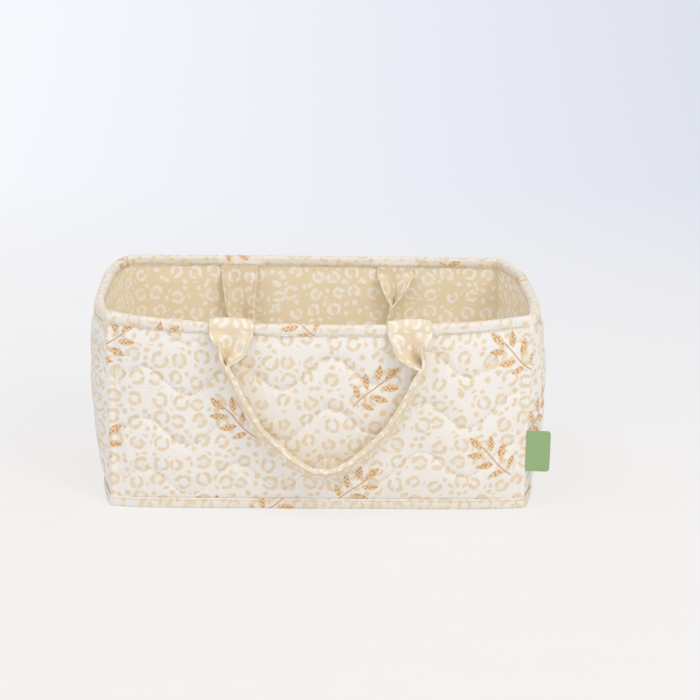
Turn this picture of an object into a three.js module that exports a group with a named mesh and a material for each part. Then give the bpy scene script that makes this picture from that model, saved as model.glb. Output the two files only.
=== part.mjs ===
// A soft nursery caddy: an open box of quilted cloth panels round foam, lined with printed cloth,
// bound round the rim and the foot, with two folded strap handles and a sewn-in side label.
// Millimetres, +Z up, the front faces -Y. The origin is the centre of the underside.
import * as THREE from 'three';

// Driving sizes of the body, measured at the outer stitched face of the panels
const rim_height = 170;
const seam_width_foot = 354;
const seam_width_rim = 360.5;
const seam_depth_foot = 222;
const seam_depth_rim = 212;

// How far each wall bows out between its two corner seams
const front_bow_foot = 5;
const front_bow_rim = 20;
const back_bow_foot = 5;
const back_bow_rim = 10;
const right_bow_foot = 12;
const right_bow_rim = 10;
const left_bow_foot = 10;
const left_bow_rim = 14;
const long_wall_belly = 1.5;
const right_wall_belly = 9;
const left_wall_belly = 7;
const front_rim_sag = 5;
const back_rim_sag = 2;
const end_rim_sag = 1;
const long_bow_power_foot = 9;
const long_bow_power_rim = 3;
const end_bow_power_foot = 3;
const end_bow_power_rim = 4;

// Layers of a wall, from the outside in
const quilt_thickness = 2;
const quilt_puff = 1.4;
const foam_thickness = 2.6;
const lining_thickness = 1;
const layer_gap = 0.3;
const seam_gap = 0.5;
const foam_margin = 14;

// Edge-stitched fold that stands up along each corner seam of the front and back panels
const fold_width = 5;
const fold_rise = 1.2;
const fold_valley = 2.5;

// Wavy quilting rows
const quilt_row_pitch = 45;
const quilt_top_drop = 1.5;
const quilt_wave_length = 78;
const quilt_wave_height = 13;
const quilt_crest_place = 8;
const quilt_rise_share = 0.072;
const quilt_least_step = 1.6;
const crown_shares = [0.25, 0.75];
const quilt_edge_fade = 14;

// Binding tape over the rim, and the bound lip round the foot
const binding_thickness = 1;
const rim_binding_height = 9;
const foot_binding_height = 9;
const foot_binding_thickness = 2;
const binding_clear = 2;

// Base layers
const base_panel_thickness = 2;
const base_board_thickness = 2.5;
const floor_lining_thickness = 1;

// Handles: one strap each, flat at its ends and folded lengthwise to make the grip
const strap_width = 35;
const strap_thickness = 2;
const handle_half_span = 74;
const loop_floor_height = 31;
const strap_root_drop = 12;
const strap_fold_radius = 1.6;
const strap_tuck = 2;
const strap_end_gap = 0.4;
const strap_clear = 0.5;
const back_end_gap = 0.4;
const back_end_length = 3;
const back_bend_radius = 7;
const strap_bend_share = 0.8;
const strap_neck_share = 0.8;
const fold_close_share = 0.17;
const flat_share = 0.02;
const grip_roll_share = 0.55;
const roll_end_share = 0.6;

// Side label
const label_length = 19;
const label_height = 35;
const label_thickness = 0.9;
const label_corner = 3;
const label_foot_height = 36.5;

// Fineness of the meshed faces
const column_pitch = 13.2;
const wall_row_count = 4;
const normal_reach = 6;
const strap_step_count = 17;
const strap_step_power = 1.4;
const round_step_count = 4;
const bend_step_count = 4;
const end_step_count = 4;
const label_corner_steps = 4;

const wall_thickness = quilt_thickness + layer_gap + foam_thickness + layer_gap + lining_thickness;
const foam_inset = quilt_thickness + layer_gap;
const lining_inset = foam_inset + foam_thickness + layer_gap;
const binding_half_width = wall_thickness / 2 + layer_gap + binding_thickness;
const wall_foot = base_panel_thickness + layer_gap;
const sides = ['front', 'right', 'back', 'left'];
const side_count = sides.length;

const mix = (a, b, share) => a + (b - a) * share;
const half_width = (v) => mix(seam_width_foot, seam_width_rim, v) / 2;
const half_depth = (v) => mix(seam_depth_foot, seam_depth_rim, v) / 2;
const hump = (v) => 4 * v * (1 - v);
const front_bow = (v) => mix(front_bow_foot, front_bow_rim, v) + long_wall_belly * hump(v);
const back_bow = (v) => mix(back_bow_foot, back_bow_rim, v) + long_wall_belly * hump(v);
const right_bow = (v) => mix(right_bow_foot, right_bow_rim, v) + right_wall_belly * hump(v);
const left_bow = (v) => mix(left_bow_foot, left_bow_rim, v) + left_wall_belly * hump(v);

// A higher power keeps the middle of a wall straighter and turns its bow closer to the corner seams.
function bow_shape(side, u, v) {
  const is_long = side % 2 === 0;
  const power_foot = is_long ? long_bow_power_foot : end_bow_power_foot;
  const power_rim = is_long ? long_bow_power_rim : end_bow_power_rim;
  return 1 - Math.abs(u) ** mix(power_foot, power_rim, Math.sqrt(v));
}

// A place round the wall is one number: the whole part is the side, the rest runs along that side.
function place(round) {
  const wrapped = (round + side_count) % side_count;
  const side = Math.floor(wrapped);
  return { side, u: 2 * (wrapped - side) - 1 };
}

// Outer stitched face in plan, at the height share v of the wall
function plan_point(round, v) {
  const { side, u } = place(round);
  const bowed = bow_shape(side, u, v);
  const points = [
    [u * half_width(v), -(half_depth(v) + front_bow(v) * bowed)],
    [half_width(v) + right_bow(v) * bowed, u * half_depth(v)],
    [-u * half_width(v), half_depth(v) + back_bow(v) * bowed],
    [-(half_width(v) + left_bow(v) * bowed), -u * half_depth(v)],
  ];
  return new THREE.Vector2(...points[side]);
}

const side_half_length = (side, v) => (side % 2 === 0 ? half_width(v) : half_depth(v));

// The same face moved inwards by an inset, square to the wall and mitred over the corner seams
function inset_point(round, v, inset) {
  const { side } = place(round);
  const reach = normal_reach / (2 * side_half_length(side, v));
  const along = plan_point(round + reach, v).sub(plan_point(round - reach, v)).normalize();
  const inwards = new THREE.Vector2(-along.y, along.x);
  return plan_point(round, v).addScaledVector(inwards, inset);
}

// The binding's top is a half round, and the wall's flat top edge is level with the round's centre.
const round_centre_drop = binding_half_width;
const hollow_radius = binding_half_width - binding_thickness;

// Level rows as shares of the wall's height, the last but one at the binding's lower edge
const wall_height = rim_height - round_centre_drop - wall_foot;
const binding_row = 1 - (rim_binding_height - round_centre_drop) / wall_height;
const even_rows = Array.from({ length: wall_row_count }, (_, k) => (k * binding_row) / wall_row_count);
const level_rows = [...even_rows, binding_row, 1];

// Inner faces run straight between the level rows, so that the layers lie flat on each other.
function layer_point(round, v, inset) {
  const above = Math.max(1, level_rows.findIndex((row) => row >= v));
  const [low, high] = [level_rows[above - 1], level_rows[above]];
  const share = (v - low) / (high - low);
  return inset_point(round, low, inset).lerp(inset_point(round, high, inset), share);
}

const rim_sags = [front_rim_sag, end_rim_sag, back_rim_sag, end_rim_sag];

function rim_top(round) {
  const { side, u } = place(round);
  return rim_height - rim_sags[side] * bow_shape(side, u, 1);
}

const wall_top = (round) => rim_top(round) - round_centre_drop;
const height_share = (round, z) => (z - wall_foot) / (wall_top(round) - wall_foot);

function wall_vertex(round, z, inset, exact) {
  const v = THREE.MathUtils.clamp(height_share(round, z), 0, 1);
  const flat = exact ? inset_point(round, v, inset) : layer_point(round, v, inset);
  return new THREE.Vector3(flat.x, flat.y, z);
}

// Closed meshes are written as lists of points and triangles, turned to face outwards.
function closed_geometry(points, triangles) {
  let volume = 0;
  for (const [a, b, c] of triangles) {
    volume += points[a].dot(new THREE.Vector3().crossVectors(points[b], points[c]));
  }
  const index = triangles.flatMap(([a, b, c]) => (volume < 0 ? [a, c, b] : [a, b, c]));
  const geometry = new THREE.BufferGeometry().setFromPoints(points);
  geometry.setIndex(index);
  geometry.computeVertexNormals();
  return geometry;
}

// Joins two upright edges that have different numbers of points
function zipped(first, second, points) {
  const triangles = [];
  let i = 0;
  let j = 0;
  while (i < first.length - 1 || j < second.length - 1) {
    const next_first = i < first.length - 1 ? points[first[i + 1]].z : Infinity;
    const next_second = j < second.length - 1 ? points[second[j + 1]].z : Infinity;
    if (next_first <= next_second) {
      triangles.push([first[i], second[j], first[i + 1]]);
      i += 1;
    } else {
      triangles.push([first[i], second[j], second[j + 1]]);
      j += 1;
    }
  }
  return triangles;
}

// A thick sheet between an outer and an inner grid with the same columns
function sheet_geometry(outer, inner) {
  const points = [];
  const numbered = (grid) => grid.map((row) => row.map((point) => points.push(point) - 1));
  const out = numbered(outer);
  const into = numbered(inner);
  const triangles = [];
  const cover = (grid, flip) => {
    for (let i = 0; i < grid.length - 1; i += 1) {
      for (let j = 0; j < grid[i].length - 1; j += 1) {
        const [a, b, c, d] = [grid[i][j], grid[i][j + 1], grid[i + 1][j + 1], grid[i + 1][j]];
        if (flip) triangles.push([a, c, b], [a, d, c]);
        else triangles.push([a, b, c], [a, c, d]);
      }
    }
  };
  cover(out, false);
  cover(into, true);
  cover([into[0], out[0]], false);
  cover([out.at(-1), into.at(-1)], false);
  const edge = (grid, column) => grid.map((row) => row.at(column));
  triangles.push(...zipped(edge(into, 0), edge(out, 0), points));
  triangles.push(...zipped(edge(out, -1), edge(into, -1), points));
  return closed_geometry(points, triangles);
}

// Rings of points in step: a closed loop of rings, or a run of rings with flat ends
function rings_geometry(rings, end_outlines) {
  const points = rings.flat();
  const size = rings[0].length;
  const triangles = [];
  const spans = end_outlines ? rings.length - 1 : rings.length;
  for (let k = 0; k < spans; k += 1) {
    const next = (k + 1) % rings.length;
    for (let i = 0; i < size; i += 1) {
      const j = (i + 1) % size;
      const [a, b, c, d] = [k * size + i, k * size + j, next * size + j, next * size + i];
      triangles.push([a, b, c], [a, c, d]);
    }
  }
  if (end_outlines) {
    const last = (rings.length - 1) * size;
    const [first_outline, last_outline] = end_outlines;
    for (const [a, b, c] of THREE.ShapeUtils.triangulateShape(first_outline, [])) {
      triangles.push([c, b, a]);
    }
    for (const [a, b, c] of THREE.ShapeUtils.triangulateShape(last_outline, [])) {
      triangles.push([last + a, last + b, last + c]);
    }
  }
  return closed_geometry(points, triangles);
}

// Columns of a panel, as distances from its first corner seam
function panel_columns(side, with_fold) {
  const length = 2 * side_half_length(side, 0);
  const edge = [seam_gap / 2, fold_width];
  if (with_fold) edge.push(fold_width + fold_valley);
  const inner = length - 2 * edge.at(-1);
  const count = Math.max(2, Math.round(inner / column_pitch));
  const middle = Array.from({ length: count - 1 }, (_, k) => edge.at(-1) + (inner * (k + 1)) / count);
  return [...edge, ...middle, ...edge.map((d) => length - d).reverse()].map((d) => d / length);
}

const columns = sides.map((_, side) => panel_columns(side, side % 2 === 0));

// One flat layer of a wall between two insets, drawn from level rows
function layer_geometry(side, columns_used, low, high_drop, near, far) {
  const grid = (inset) => level_rows.map((share) => columns_used.map((along) => {
    const round = side + along;
    return wall_vertex(round, mix(low, wall_top(round) - high_drop, share), inset, false);
  }));
  return sheet_geometry(grid(near), grid(far));
}

// Heights of the rows that draw the quilted face at one column, with how far each stands out.
// Each stitched row is a valley, with two crown rows between it and the next.
function quilt_rows(side, along) {
  const round = side + along;
  const length = 2 * side_half_length(side, 0);
  const from_middle = (along - 1 / 2) * length;
  const rise = side === 0 ? quilt_rise_share * from_middle : 0;
  const wave_turn = (2 * Math.PI * (from_middle - quilt_crest_place)) / quilt_wave_length;
  const wave = quilt_wave_height * Math.cos(wave_turn);
  const foot_band = foot_binding_height + binding_clear;
  const rim_band = rim_top(round) - rim_binding_height - binding_clear;
  const top_row = rim_height - quilt_top_drop;
  const last_row = Math.ceil((top_row - foot_band) / quilt_row_pitch) - 1;
  const lines = [];
  for (let k = last_row; k >= 0; k -= 1) {
    const valley = top_row - k * quilt_row_pitch + rise + wave;
    if (k === last_row) lines.push({ z: mix(foot_band, valley, 1 / 2) });
    lines.push({ z: valley, valley });
    if (k > 0) lines.push(...crown_shares.map((share) => ({ z: valley + quilt_row_pitch * share })));
  }
  lines.forEach((line, k) => {
    line.z = Math.max(line.z, foot_band + (k + 1) * quilt_least_step);
  });
  lines.forEach((line, k) => {
    line.z = Math.min(line.z, rim_band - (lines.length - k) * quilt_least_step);
  });
  const from_seam = Math.min(along, 1 - along) * length;
  const folded = side % 2 === 0 && from_seam < fold_width + fold_valley / 2;
  const seam_fade = THREE.MathUtils.smoothstep(from_seam, fold_width, fold_width + column_pitch);
  for (const line of lines) {
    const off_row = line.valley === undefined ? quilt_wave_height : Math.abs(line.z - line.valley);
    const stands = THREE.MathUtils.smoothstep(off_row, 0, quilt_wave_height / 2);
    const from_edge = Math.min(rim_band - line.z, line.z - foot_band);
    const edge_fade = THREE.MathUtils.smoothstep(from_edge, 0, quilt_edge_fade);
    line.out = folded ? fold_rise : stands * quilt_puff * seam_fade * edge_fade;
  }
  const held = [{ z: wall_foot, out: 0 }, { z: foot_band, out: 0 }];
  const top = [{ z: rim_band, out: 0 }, { z: wall_top(round), out: 0 }];
  return [...held, ...lines, ...top];
}

function quilt_geometry(side) {
  const drawn = columns[side].map((along) => quilt_rows(side, along));
  const outer = drawn[0].map((_, row) => columns[side].map((along, j) => {
    const { z, out } = drawn[j][row];
    return wall_vertex(side + along, z, -out, true);
  }));
  const inner = level_rows.map((share) => columns[side].map((along) => {
    const round = side + along;
    return wall_vertex(round, mix(wall_foot, wall_top(round), share), quilt_thickness, false);
  }));
  return sheet_geometry(outer, inner);
}

// Every column round the caddy, for the two bindings and the base layers
const round_columns = sides.flatMap((_, side) => (
  [side, ...columns[side].slice(1, -1).map((along) => side + along)]
));

// Binding section: a band folded over the wall's edge.
// Points are an inset and a height from the centre of its round top.
function rim_binding_section() {
  const middle = wall_thickness / 2;
  const leg = rim_binding_height - round_centre_drop;
  const arc = (radius, from, to) => Array.from({ length: round_step_count + 1 }, (_, k) => {
    const angle = mix(from, to, k / round_step_count);
    return [middle - radius * Math.cos(angle), radius * Math.sin(angle)];
  });
  return [
    [middle - binding_half_width, -leg],
    ...arc(binding_half_width, 0, Math.PI),
    [middle + binding_half_width, -leg],
    [middle + hollow_radius, -leg],
    ...arc(hollow_radius, Math.PI, 0),
    [middle - hollow_radius, -leg],
  ];
}

function rim_binding_geometry() {
  const section = rim_binding_section();
  const rings = round_columns.map((round) => section.map(([inset, rise]) => {
    const z = rim_top(round) - round_centre_drop + rise;
    return wall_vertex(round, z, inset, inset < wall_thickness / 2);
  }));
  return rings_geometry(rings);
}

function foot_binding_geometry() {
  const near = -layer_gap;
  const far = near - foot_binding_thickness;
  const chamfer = foot_binding_thickness / 2;
  const section = [
    [near, 0],
    [far, 0],
    [far, foot_binding_height - chamfer],
    [mix(near, far, 1 / 2), foot_binding_height],
    [near, foot_binding_height],
  ];
  const rings = round_columns.map((round) => (
    section.map(([inset, z]) => wall_vertex(round, z, inset, true))
  ));
  return rings_geometry(rings);
}

// A flat layer of the base that fills the foot outline, less an inset
function base_layer_geometry(foot, thickness, inset) {
  const outline = round_columns.map((round) => inset_point(round, 0, inset));
  const ring = (z) => outline.map((point) => new THREE.Vector3(point.x, point.y, z));
  const points = [...ring(foot), ...ring(foot + thickness)];
  const size = outline.length;
  const foot_centre = points.push(new THREE.Vector3(0, 0, foot)) - 1;
  const top_centre = points.push(new THREE.Vector3(0, 0, foot + thickness)) - 1;
  const triangles = outline.flatMap((_, i) => {
    const j = (i + 1) % size;
    const lids = [[j, i, foot_centre], [size + i, size + j, top_centre]];
    return [...lids, [i, j, size + j], [i, size + j, size + i]];
  });
  return closed_geometry(points, triangles);
}

// Centre line of the rim in plan, where the handles cross it
const rim_centre = (round) => inset_point(round, 1, wall_thickness / 2);

const front_place = (x) => (x / half_width(1) + 1) / 2;
const back_place = (x) => 2 + (1 - x / half_width(1)) / 2;

// Hinge line of the front handle: the middle of the half round on top of the rim
const front_hinge = {
  y: rim_centre(front_place(handle_half_span)).y,
  z: rim_top(front_place(handle_half_span)) - round_centre_drop,
};

// The back handle lies on the lining under the binding. Its hinge line is in front of its sewn edge.
const back_strap_plane = rim_centre(back_place(handle_half_span)).y
  - (wall_thickness + strap_thickness) / 2 - layer_gap;
const back_end_foot = rim_binding_height + layer_gap + back_end_length;
const back_hinge = {
  y: back_strap_plane - back_bend_radius,
  z: rim_top(back_place(handle_half_span)) - back_end_foot - back_end_gap,
};

// The strap's fold line on one half of a handle, from its sewn end to the bottom of the loop:
// shares of the half span outwards and of the drop downwards.
const fold_line_shares = [
  [1, 0],
  [1.09, 0.13],
  [1.08, 0.25],
  [1, 0.39],
  [0.92, 0.485],
  [0.785, 0.645],
  [0.635, 0.76],
  [0.46, 0.87],
  [0.3, 0.94],
  [0.16, 0.985],
  [0, 1],
];

// Section of the strap: flat at first, then bent round its middle until its two halves lie together.
// Points are across the strap and towards its open side.
function strap_section(closed) {
  const turn = Math.PI * closed;
  const bend = mix(strap_width * strap_bend_share, Math.PI * strap_fold_radius, Math.sqrt(closed));
  const leg = (strap_width - bend) / 2;
  const radius = bend / turn;
  const on_arc = (angle) => [radius * Math.sin(angle), radius * (1 - Math.cos(angle))];
  const tip = (way) => {
    const angle = (way * turn) / 2;
    const [x, y] = on_arc(angle);
    return [x + way * leg * Math.cos(angle), y + way * leg * Math.sin(angle), angle];
  };
  const bent = Array.from({ length: bend_step_count + 1 }, (_, k) => {
    const angle = mix(-turn / 2, turn / 2, k / bend_step_count);
    return [...on_arc(angle), angle];
  });
  const middle = [tip(-1), ...bent, tip(1)];
  const beside = (way) => middle.map(([x, y, angle]) => new THREE.Vector2(
    x - (way * strap_thickness * Math.sin(angle)) / 2,
    y + (way * strap_thickness * Math.cos(angle)) / 2,
  ));
  return [...beside(-1), ...beside(1).reverse()];
}

// A strap hangs straight down from the rim, or leans on the wall where the wall stands in its way.
const lean_at = (bow, way) => (z) => {
  const v = (z - wall_foot) / wall_height;
  const out = half_depth(v) + bow(v) - half_depth(1) - bow(1);
  return -Math.max(0, way * out);
};

// The moving strap of one handle, between its two sewn ends. The rim's own line shapes its two ends,
// and end_rise is how far a cut end rises or falls at a distance out from the strap's middle layer.
function strap_geometry(top, plane, rim_shift, lean, neck_share, end_rise) {
  const drop = top - loop_floor_height;
  const fold_points = (way) => fold_line_shares.map(([across, down]) => (
    new THREE.Vector3(way * across * handle_half_span, plane, top - down * drop)
  ));
  const line = new THREE.CatmullRomCurve3([...fold_points(-1), ...fold_points(1).reverse().slice(1)]);
  const face = new THREE.Vector3(0, -1, 0);
  const downwards = new THREE.Vector3(0, 0, -1);
  const ring_count = 2 * strap_step_count;
  const outlines = [];
  const rings = [];
  for (let k = 0; k <= ring_count; k += 1) {
    const first_half = k < strap_step_count;
    const from_end = (Math.min(k, ring_count - k) / strap_step_count) ** strap_step_power;
    const t = first_half ? from_end / 2 : 1 - from_end / 2;
    const closed = THREE.MathUtils.smoothstep(from_end, 0, fold_close_share);
    const near_rim = 1 - THREE.MathUtils.smoothstep(from_end, 0, fold_close_share / 2);
    const hanging = downwards.clone().multiplyScalar(first_half ? 1 : -1);
    const along = line.getTangentAt(t).lerp(hanging, near_rim).normalize();
    const inwards = new THREE.Vector3().crossVectors(face, along);
    const roll = (Math.PI / 2) * grip_roll_share * THREE.MathUtils.smoothstep(from_end, 0, roll_end_share);
    const open = face.clone().multiplyScalar(Math.cos(roll)).addScaledVector(inwards, Math.sin(roll));
    const across = new THREE.Vector3().crossVectors(open, along);
    const centre = line.getPointAt(t);
    centre.y += lean(centre.z);
    const outline = strap_section(mix(flat_share, 1, closed));
    outlines.push(outline);
    rings.push(outline.map((point) => {
      const beside = point.x * mix(neck_share, 1, closed);
      const placed = centre.clone().addScaledVector(across, beside).addScaledVector(open, point.y);
      const shift = rim_shift(placed.x);
      if (from_end === 0) placed.z += end_rise(plane - placed.y);
      placed.y += near_rim * shift.y;
      placed.z += near_rim * shift.z;
      return placed;
    }));
  }
  return rings_geometry(rings, [outlines[0], outlines[0]]);
}

const front_strap_reach = binding_half_width + strap_clear + strap_thickness / 2;
const front_cut_radius = Math.hypot(strap_root_drop, front_strap_reach);

// How far the rim at x stands from the rim at the middle of the handle's sewn end
function rim_shift_from(place_at) {
  const middle = place_at(handle_half_span);
  return (x) => ({
    y: rim_centre(place_at(x)).y - rim_centre(middle).y,
    z: rim_top(place_at(x)) - rim_top(middle),
  });
}

// Sewn end of the front handle: up from under the binding, over the rim and down its outside. It and
// the strap are cut on a round about the hinge line, so that the strap passes it as it swings.
function front_strap_end_geometry(way) {
  const near = binding_half_width + strap_clear;
  const far = near + strap_thickness;
  const tuck = rim_binding_height - round_centre_drop + strap_tuck;
  const arc = (radius, from, to) => Array.from({ length: round_step_count + 1 }, (_, k) => {
    const angle = mix(from, to, k / round_step_count);
    return new THREE.Vector2(-radius * Math.cos(angle), radius * Math.sin(angle));
  });
  const cut_radius = front_cut_radius - strap_end_gap;
  const cut = (out) => new THREE.Vector2(-out, -Math.sqrt(cut_radius ** 2 - out ** 2));
  const section = [
    cut(near),
    ...arc(near, 0, Math.PI),
    new THREE.Vector2(near, -tuck),
    new THREE.Vector2(far, -tuck),
    ...arc(far, Math.PI, 0),
    cut(far),
  ];
  const rings = Array.from({ length: end_step_count + 1 }, (_, k) => section.map((point) => {
    const fall = point.x < 0 ? THREE.MathUtils.smoothstep(-point.y, -near, strap_root_drop) : 0;
    const width = strap_width * mix(1, strap_neck_share, fall);
    const x = way * handle_half_span + mix(-width / 2, width / 2, k / end_step_count);
    const round = front_place(x);
    const rim_z = rim_top(round) - round_centre_drop;
    return new THREE.Vector3(x, rim_centre(round).y + point.x, rim_z + point.y);
  }));
  return rings_geometry(rings, [section, section]);
}

// Sewn end of the back handle: a short flat length that comes out from under the binding on the lining
function back_strap_end_geometry(way) {
  const near = wall_thickness + layer_gap;
  const far = near + strap_thickness;
  const section = [
    new THREE.Vector2(near, -back_end_foot),
    new THREE.Vector2(far, -back_end_foot),
    new THREE.Vector2(far, -rim_binding_height - layer_gap),
    new THREE.Vector2(near, -rim_binding_height - layer_gap),
  ];
  const rings = Array.from({ length: end_step_count + 1 }, (_, k) => {
    const x = way * handle_half_span + mix(-strap_width / 2, strap_width / 2, k / end_step_count);
    const round = back_place(x);
    return section.map((point) => wall_vertex(round, rim_top(round) + point.y, point.x, false));
  });
  return rings_geometry(rings, [section, section]);
}

// A flat woven tag with rounded outer corners, standing out of the front right corner seam
function label_geometry() {
  const shape = new THREE.Shape();
  const r = label_corner;
  shape.moveTo(0, 0);
  shape.lineTo(label_length - r, 0);
  shape.absarc(label_length - r, r, r, -Math.PI / 2, 0, false);
  shape.lineTo(label_length, label_height - r);
  shape.absarc(label_length - r, label_height - r, r, 0, Math.PI / 2, false);
  shape.lineTo(0, label_height);
  shape.closePath();
  return new THREE.ExtrudeGeometry(shape, {
    depth: label_thickness,
    bevelEnabled: false,
    curveSegments: label_corner_steps,
  });
}

const cloth = (color, roughness) => new THREE.MeshStandardMaterial({ color, roughness, metalness: 0 });
const quilted_cotton = cloth('#ece6db', 0.9);
const lining_cotton = cloth('#dcc8a0', 0.9);
const foam_sheet = cloth('#f4f2ee', 0.95);
const board = cloth('#b9a58a', 0.85);
const tag_twill = cloth('#98b17e', 0.8);

const caddy = new THREE.Group();

function add(name, geometry, material) {
  const mesh = new THREE.Mesh(geometry, material);
  mesh.name = name;
  caddy.add(mesh);
  return mesh;
}

sides.forEach((name, side) => {
  add(`outer_${name}_panel`, quilt_geometry(side), quilted_cotton);
  const inner_columns = columns[side].filter((along) => {
    const length = 2 * side_half_length(side, 0);
    return Math.min(along, 1 - along) * length > foam_margin;
  });
  add(
    `${name}_foam_core`,
    layer_geometry(side, inner_columns, wall_foot, layer_gap, foam_inset, foam_inset + foam_thickness),
    foam_sheet,
  );
  add(
    `lining_${name}`,
    layer_geometry(side, columns[side], wall_foot, 0, lining_inset, lining_inset + lining_thickness),
    lining_cotton,
  );
});

add('rim_binding', rim_binding_geometry(), quilted_cotton);
add('foot_binding', foot_binding_geometry(), quilted_cotton);

const inside = wall_thickness + layer_gap;
const board_foot = wall_foot;
const floor_foot = board_foot + base_board_thickness + layer_gap;
add('outer_base_panel', base_layer_geometry(0, base_panel_thickness, 0), quilted_cotton);
add('base_board', base_layer_geometry(board_foot, base_board_thickness, inside), board);
add('lining_floor', base_layer_geometry(floor_foot, floor_lining_thickness, inside), lining_cotton);

add('front_handle_left_end', front_strap_end_geometry(-1), lining_cotton);
add('front_handle_right_end', front_strap_end_geometry(1), lining_cotton);
add('back_handle_left_end', back_strap_end_geometry(-1), lining_cotton);
add('back_handle_right_end', back_strap_end_geometry(1), lining_cotton);
add(
  'front_handle_strap',
  strap_geometry(
    front_hinge.z - strap_root_drop,
    front_hinge.y - front_strap_reach,
    rim_shift_from(front_place),
    lean_at(front_bow, 1),
    strap_neck_share,
    (out) => strap_root_drop - Math.sqrt(front_cut_radius ** 2 - (front_strap_reach + out) ** 2),
  ),
  lining_cotton,
);
add(
  'back_handle_strap',
  strap_geometry(
    back_hinge.z,
    back_strap_plane,
    rim_shift_from(back_place),
    lean_at(back_bow, -1),
    1,
    () => 0,
  ),
  lining_cotton,
);

const label_middle = label_foot_height + label_height / 2;
const label_seam = wall_vertex(1, label_middle, -fold_rise - layer_gap, true);
const label = add('side_label', label_geometry(), tag_twill);
label.rotation.x = Math.PI / 2;
label.position.set(label_seam.x, label_seam.y, label_foot_height);

export default caddy;
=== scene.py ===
"""Looks of a soft nursery caddy: printed and quilted cotton walls, leopard-spot lining, bound rim and
foot, two folded strap handles and a woven side tag. Sizes are millimetres until a mesh is made."""

import math
from functools import partial

import bpy
import numpy as np
from mathutils import Matrix, Vector


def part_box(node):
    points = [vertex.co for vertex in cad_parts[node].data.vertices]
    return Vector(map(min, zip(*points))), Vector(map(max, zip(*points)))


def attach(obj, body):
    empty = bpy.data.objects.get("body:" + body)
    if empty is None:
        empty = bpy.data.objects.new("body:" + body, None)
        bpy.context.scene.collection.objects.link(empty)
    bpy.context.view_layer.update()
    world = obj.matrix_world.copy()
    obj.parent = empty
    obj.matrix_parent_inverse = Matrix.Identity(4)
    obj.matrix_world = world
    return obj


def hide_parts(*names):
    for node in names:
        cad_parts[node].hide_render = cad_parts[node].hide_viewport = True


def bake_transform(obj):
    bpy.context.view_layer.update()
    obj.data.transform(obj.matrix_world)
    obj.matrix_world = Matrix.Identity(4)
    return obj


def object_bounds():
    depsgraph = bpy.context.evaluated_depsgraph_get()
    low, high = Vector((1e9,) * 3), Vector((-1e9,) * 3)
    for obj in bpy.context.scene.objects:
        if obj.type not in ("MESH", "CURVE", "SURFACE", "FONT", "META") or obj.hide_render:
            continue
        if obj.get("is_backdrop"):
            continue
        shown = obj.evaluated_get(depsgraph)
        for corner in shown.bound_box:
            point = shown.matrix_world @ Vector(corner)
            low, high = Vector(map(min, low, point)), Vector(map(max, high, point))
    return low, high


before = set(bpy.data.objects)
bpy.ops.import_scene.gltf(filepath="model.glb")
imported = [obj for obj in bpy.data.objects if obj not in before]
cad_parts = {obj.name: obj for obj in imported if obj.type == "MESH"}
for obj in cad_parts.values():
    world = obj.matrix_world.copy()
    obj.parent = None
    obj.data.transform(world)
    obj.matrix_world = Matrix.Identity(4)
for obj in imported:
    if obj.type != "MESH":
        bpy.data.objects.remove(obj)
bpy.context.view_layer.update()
scene = bpy.context.scene
MM = 0.001

# Body, as in the CAD part
rim_height = 170
seam_width_foot, seam_width_rim = 354, 360.5
seam_depth_foot, seam_depth_rim = 222, 212
# How far each wall bows out, and how squarely, in the order of SIDES
SIDES = ("front", "right", "back", "left")
bow_foot, bow_rim = np.array([5, 12, 5, 10]), np.array([20, 10, 10, 14])
bow_power_foot, bow_power_rim = np.array([9, 3, 9, 3]), np.array([3, 4, 3, 4])
wall_belly = np.array([1.5, 9, 1.5, 7])
rim_sags = np.array([5, 1, 2, 1])
corner_pull, corner_pull_reach = 5.5, 0.3
# Softening of the corners at the rim, from the front left corner on: the front ones keep their crease
corner_soft_foot, corner_soft_rim = 2, np.array([3, 3, 3, 11])
quilt_thickness, foam_thickness, lining_thickness = 2, 2.6, 1
layer_gap, seam_margin, foam_margin = 0.3, 0.08, 14
wall_thickness = quilt_thickness + foam_thickness + lining_thickness + 2 * layer_gap
foam_inset = quilt_thickness + layer_gap
lining_inset = foam_inset + foam_thickness + layer_gap
binding_thickness = 1
binding_half_width = wall_thickness / 2 + layer_gap + binding_thickness
rim_binding_height, foot_binding_height, foot_binding_thickness = 9, 9, 2
wall_foot, floor_foot = 2.3, 5.1
# How far to both sides the wall's direction is read, and from what angle on an edge is sharp
normal_reach, sharp_edge = 6, math.radians(50)

# Quilting
row_count, row_pitch, row_top = 4, 45, 168.5
wave_turn, wave_height, crest_place, rise_share = 2 * np.pi / 78, 13, 8, 0.072
quilt_puff = 2.5
fold_width, fold_rise = 5, 1.2

# Straps
strap_width, strap_thickness = 35, 2
handle_half_span = 74
loop_floor_height = 31
strap_fold_radius = 1.6
strap_clear = 0.5
strap_root_drop = 12
hem_stitch = 2.7


def mix(a, b, share):
    return a + (b - a) * share


def smooth(x, low, high):
    share = np.clip((x - low) / (high - low), 0, 1)
    return share * share * (3 - 2 * share)


def bell(x, middle, width):
    return np.exp(-(((x - middle) / width) ** 2))


def unit(vectors):
    return vectors / np.linalg.norm(vectors, axis=-1, keepdims=True)


def distance_along(points):
    return np.append(0, np.cumsum(np.linalg.norm(np.diff(points, axis=0), axis=1)))


def noise(x, y, size, seed=0):
    """Smooth random height from -1 to 1, with hills about one size across."""
    column, row = np.floor(x / size), np.floor(y / size)
    across, up = smooth(x / size - column, 0, 1), smooth(y / size - row, 0, 1)

    def corner(i, j):
        tangled = np.sin((column + i) * 127.1 + (row + j) * 311.7 + seed * 74.7) * 43758.5453
        return 2 * (tangled - np.floor(tangled)) - 1

    return mix(mix(corner(0, 0), corner(1, 0), across), mix(corner(0, 1), corner(1, 1), across), up)


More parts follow.
